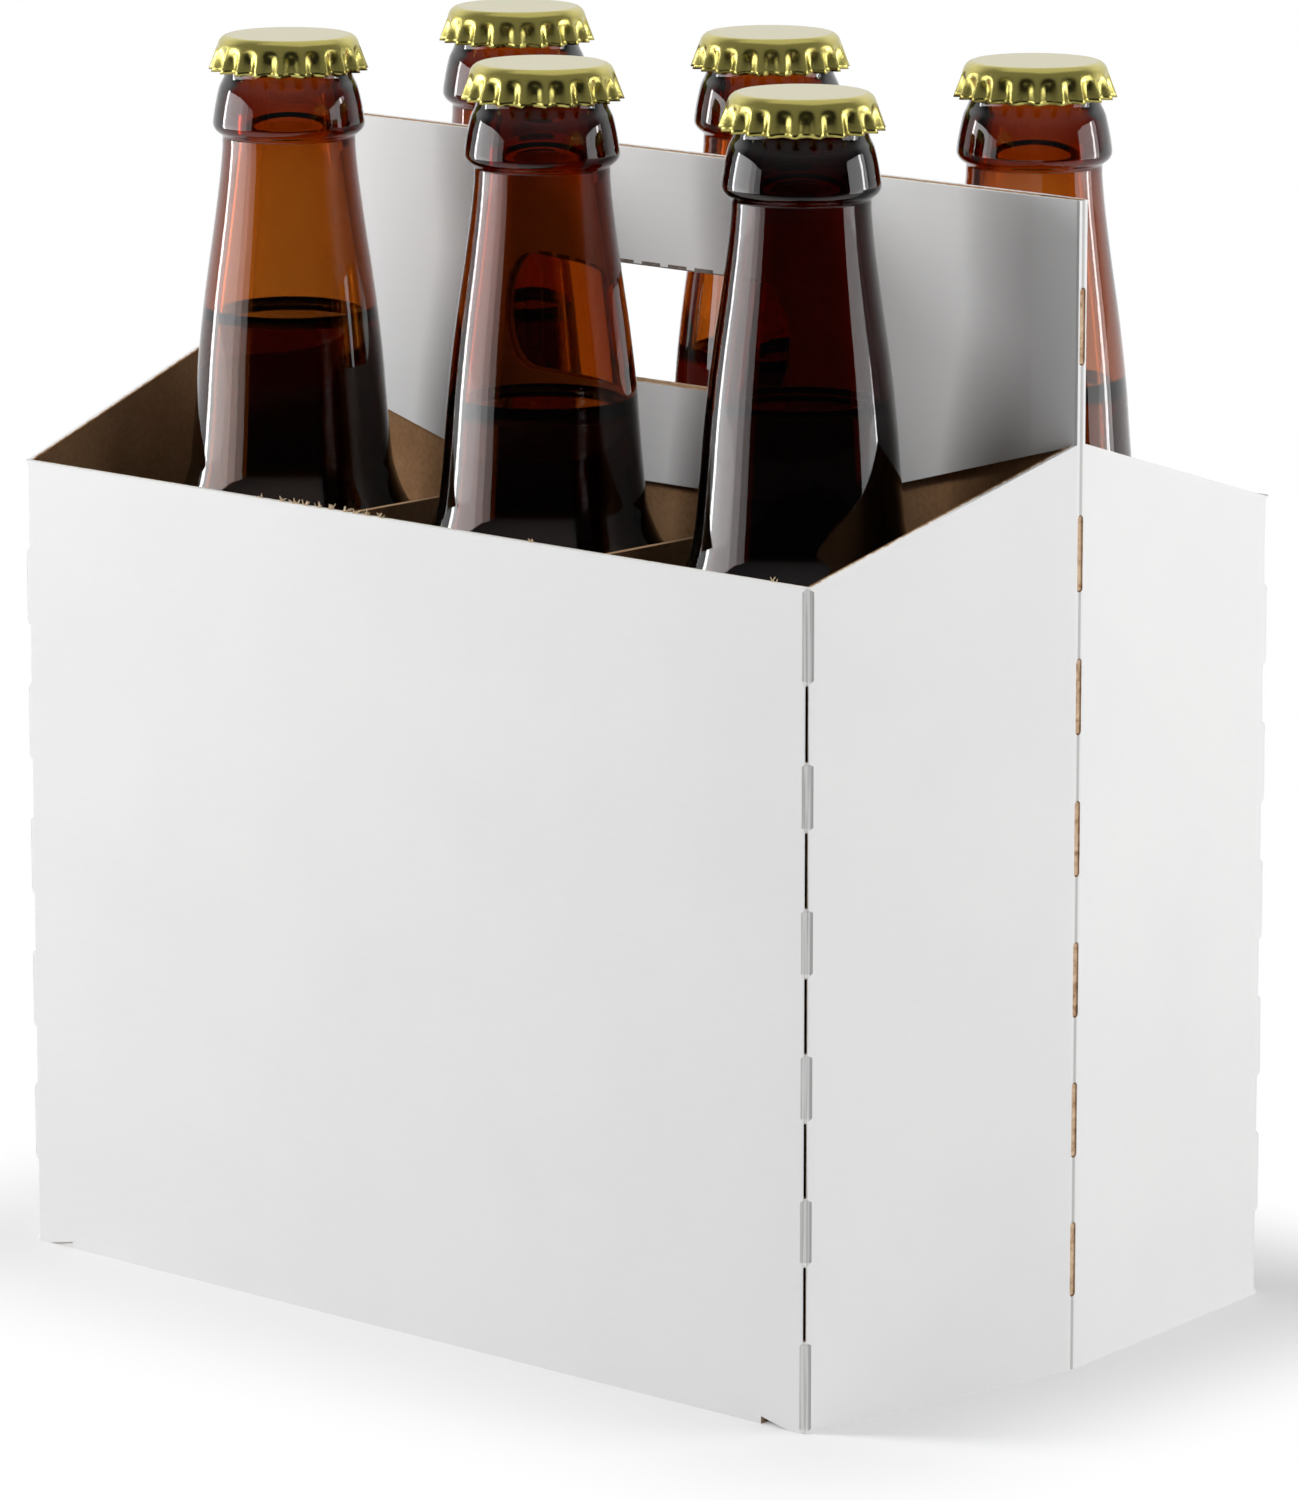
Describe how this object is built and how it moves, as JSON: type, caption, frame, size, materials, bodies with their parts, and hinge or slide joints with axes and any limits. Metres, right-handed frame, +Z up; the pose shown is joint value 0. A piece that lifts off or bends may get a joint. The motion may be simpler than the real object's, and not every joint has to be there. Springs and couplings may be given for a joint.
{
  "type": "six-pack bottle carrier",
  "caption": "Folded corrugated board carrier with a centre handle and hand hole, perforated folds and raised end panels, holding capped long-neck bottles of dark liquid.",
  "frame": {"origin": "on the floor under the middle of the carton", "axes": "+X along the long side panels towards the pictured end panel, -Y towards the pictured side panel, +Z up"},
  "size_m": [0.2134, 0.1288, 0.2332],
  "materials": {
    "white_board": "white-coated corrugated board with kraft brown inside and tan cut edges",
    "kraft_board": "uncoated kraft corrugated board",
    "amber_glass": "glossy amber glass",
    "dark_liquid": "still dark brown liquid",
    "gold_cap": "gold lacquered steel, satin top and glossy flutes",
    "cap_liner": "soft sealing compound"
  },
  "bodies": {
    "root": {"carton_blank": "white_board", "center_board": "kraft_board", "front_left_divider": "kraft_board", "front_right_divider": "kraft_board", "back_left_divider": "kraft_board", "back_right_divider": "kraft_board", "front_left_bottle": "amber_glass", "front_left_beer": "dark_liquid", "front_left_liner": "cap_liner", "front_left_cap": "gold_cap", "front_middle_bottle": "amber_glass", "front_middle_beer": "dark_liquid", "front_middle_liner": "cap_liner", "front_middle_cap": "gold_cap", "front_right_bottle": "amber_glass", "front_right_beer": "dark_liquid", "front_right_liner": "cap_liner", "front_right_cap": "gold_cap", "back_left_bottle": "amber_glass", "back_left_beer": "dark_liquid", "back_left_liner": "cap_liner", "back_left_cap": "gold_cap", "back_middle_bottle": "amber_glass", "back_middle_beer": "dark_liquid", "back_middle_liner": "cap_liner", "back_middle_cap": "gold_cap", "back_right_bottle": "amber_glass", "back_right_beer": "dark_liquid", "back_right_liner": "cap_liner", "back_right_cap": "gold_cap"}
  },
  "joints": []
}
